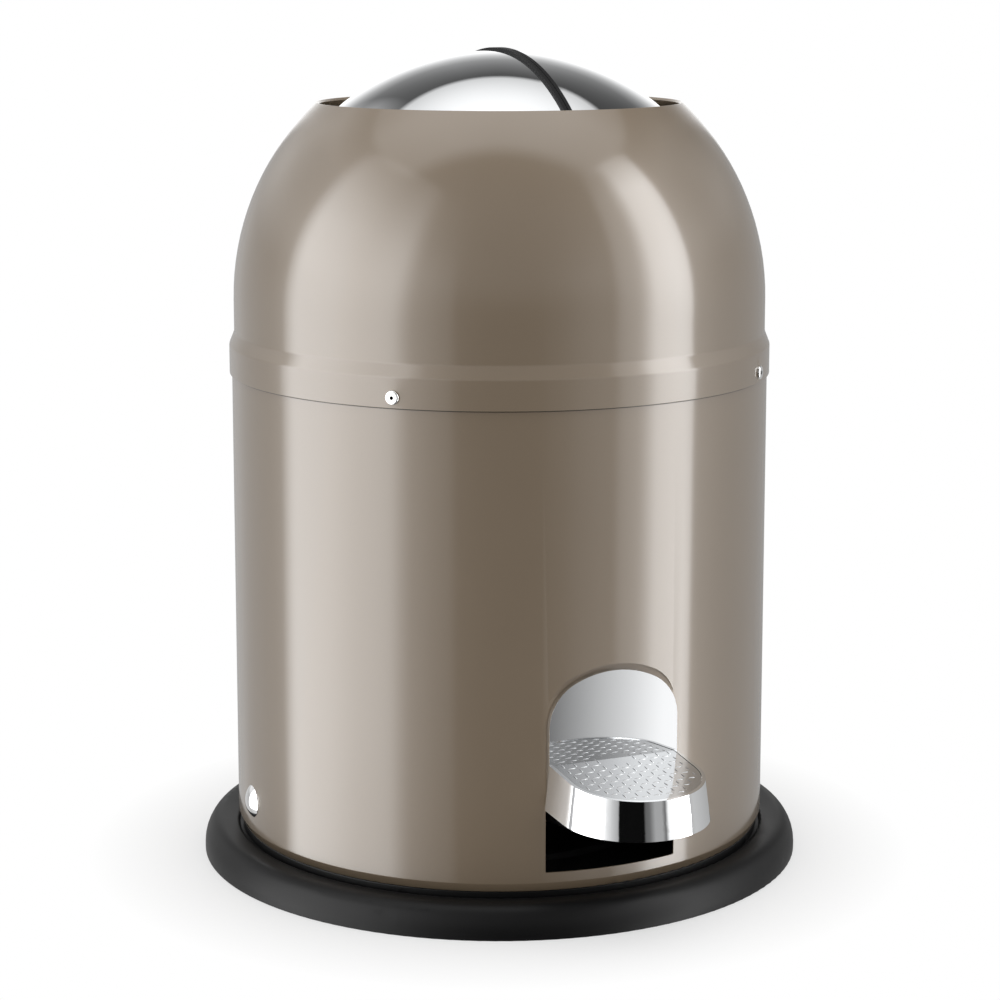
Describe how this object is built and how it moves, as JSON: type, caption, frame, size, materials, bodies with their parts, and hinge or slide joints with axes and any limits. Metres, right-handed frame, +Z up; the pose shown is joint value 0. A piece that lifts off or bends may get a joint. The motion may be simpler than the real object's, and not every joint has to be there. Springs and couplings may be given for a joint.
{
  "type": "pedal bin",
  "caption": "Round pedal bin: painted body in a black base ring, painted lift-off dome, chrome lid of two turning halves, chrome pedal and an inner bucket.",
  "frame": {"origin": "on the floor, on the bin's axis", "axes": "+Z up, -Y towards the pedal at the front, +X to the right as seen by a person facing the pedal"},
  "size_m": [0.2824, 0.3167, 0.3786],
  "materials": {
    "ring_plastic": "moulded, satin",
    "plate_paint": "black paint, satin",
    "screw_steel": "zinc plated",
    "body_paint": "taupe paint with a soft gloss",
    "dome_paint": "taupe paint with a soft gloss",
    "floor_plastic": "moulded, matte",
    "axle_steel": "drawn bar, zinc plated",
    "cap_chrome": "polished",
    "bush_plastic": "natural acetal",
    "pressed_steel": "zinc plated sheet",
    "spring_steel": "spring wire",
    "pedal_chrome": "polished",
    "tread_sheet": "rolled with a staggered bar pattern",
    "carrier_plastic": "moulded, matte",
    "rivet_steel": "polished",
    "lid_chrome": "mirror polished",
    "seal_rubber": "matte",
    "bucket_steel": "galvanised",
    "grip_plastic": "moulded, matte"
  },
  "bodies": {
    "bin": {"base_ring": "ring_plastic", "base_plate": "plate_paint", "base_screws": "screw_steel", "body_shell": "body_paint", "body_screws": "screw_steel", "false_floor": "floor_plastic", "pedal_axle": "axle_steel", "axle_cap_left": "cap_chrome", "axle_cap_right": "cap_chrome", "axle_bushes": "bush_plastic", "rod_guide_lower": "pressed_steel", "rod_guide_upper": "pressed_steel", "return_spring": "spring_steel"},
    "pedal": {"pedal_shoe": "pedal_chrome", "tread_panel": "tread_sheet", "pedal_screws": "screw_steel", "pedal_lever": "pressed_steel", "lever_bushes": "bush_plastic"},
    "rod": {"push_rod": "axle_steel", "rod_collar": "screw_steel"},
    "hood": {"dome_shell": "dome_paint", "carrier_ring": "carrier_plastic", "dome_rivets": "rivet_steel", "pivot_bracket_rear": "pressed_steel", "pivot_bracket_front": "pressed_steel", "pivot_pin_rear": "axle_steel", "pivot_pin_front": "axle_steel", "pin_clips": "spring_steel", "pivot_spacers": "bush_plastic"},
    "yoke": {"lid_yoke": "pressed_steel"},
    "lid_half_left": {"lid_left": "lid_chrome", "lid_seal_left": "seal_rubber", "lid_arm_left_rear": "pressed_steel", "lid_arm_left_front": "pressed_steel", "crank_pin_left": "axle_steel"},
    "lid_half_right": {"lid_right": "lid_chrome", "lid_seal_right": "seal_rubber", "lid_arm_right_rear": "pressed_steel", "lid_arm_right_front": "pressed_steel", "crank_pin_right": "axle_steel"},
    "bucket_body": {"bucket": "bucket_steel", "bail_ears": "bucket_steel"},
    "bail": {"bail_wire": "axle_steel", "bail_grip": "grip_plastic"}
  },
  "joints": [
    {"name": "pedal_press", "type": "hinge", "parent": "bin", "child": "pedal", "pos_m": [0, 0, 0.034], "axis": [1, 0, 0], "range_deg": [0, 11]},
    {"name": "rod_lift", "type": "slide", "parent": "bin", "child": "rod", "axis": [0, 0, 1], "range_m": [0, 0.02244], "stiffness_N_per_m": 300, "springref_m": -0.02, "deforming": ["return_spring"]},
    {"name": "hood_lift", "type": "slide", "parent": "bin", "child": "hood", "axis": [0, 0, 1], "range_m": [0, 0.15]},
    {"name": "yoke_lift", "type": "slide", "parent": "hood", "child": "yoke", "axis": [0, 0, 1], "range_m": [0, 0.02244]},
    {"name": "lid_left_turn", "type": "hinge", "parent": "hood", "child": "lid_half_left", "pos_m": [0, 0, 0.2563], "axis": [0, -1, 0], "range_deg": [0, 50]},
    {"name": "lid_right_turn", "type": "hinge", "parent": "hood", "child": "lid_half_right", "pos_m": [0, 0, 0.2563], "axis": [0, 1, 0], "range_deg": [0, 50]},
    {"name": "bucket_lift", "type": "slide", "parent": "bin", "child": "bucket_body", "axis": [0, 0, 1], "range_m": [0, 0.075]},
    {"name": "bail_swing", "type": "hinge", "parent": "bucket_body", "child": "bail", "pos_m": [0, 0, 0.228], "axis": [0, -1, 0], "range_deg": [0, 218]}
  ],
  "couplings": [
    {"joint": "rod_lift", "follows": "pedal_press", "m_per_rad": 0.11686},
    {"joint": "yoke_lift", "follows": "pedal_press", "m_per_rad": 0.11686},
    {"joint": "lid_left_turn", "follows": "pedal_press", "ratio": 4.5455},
    {"joint": "lid_right_turn", "follows": "pedal_press", "ratio": 4.5455},
    {"joint": "bucket_lift", "follows": "hood_lift", "ratio": 0.5}
  ]
}
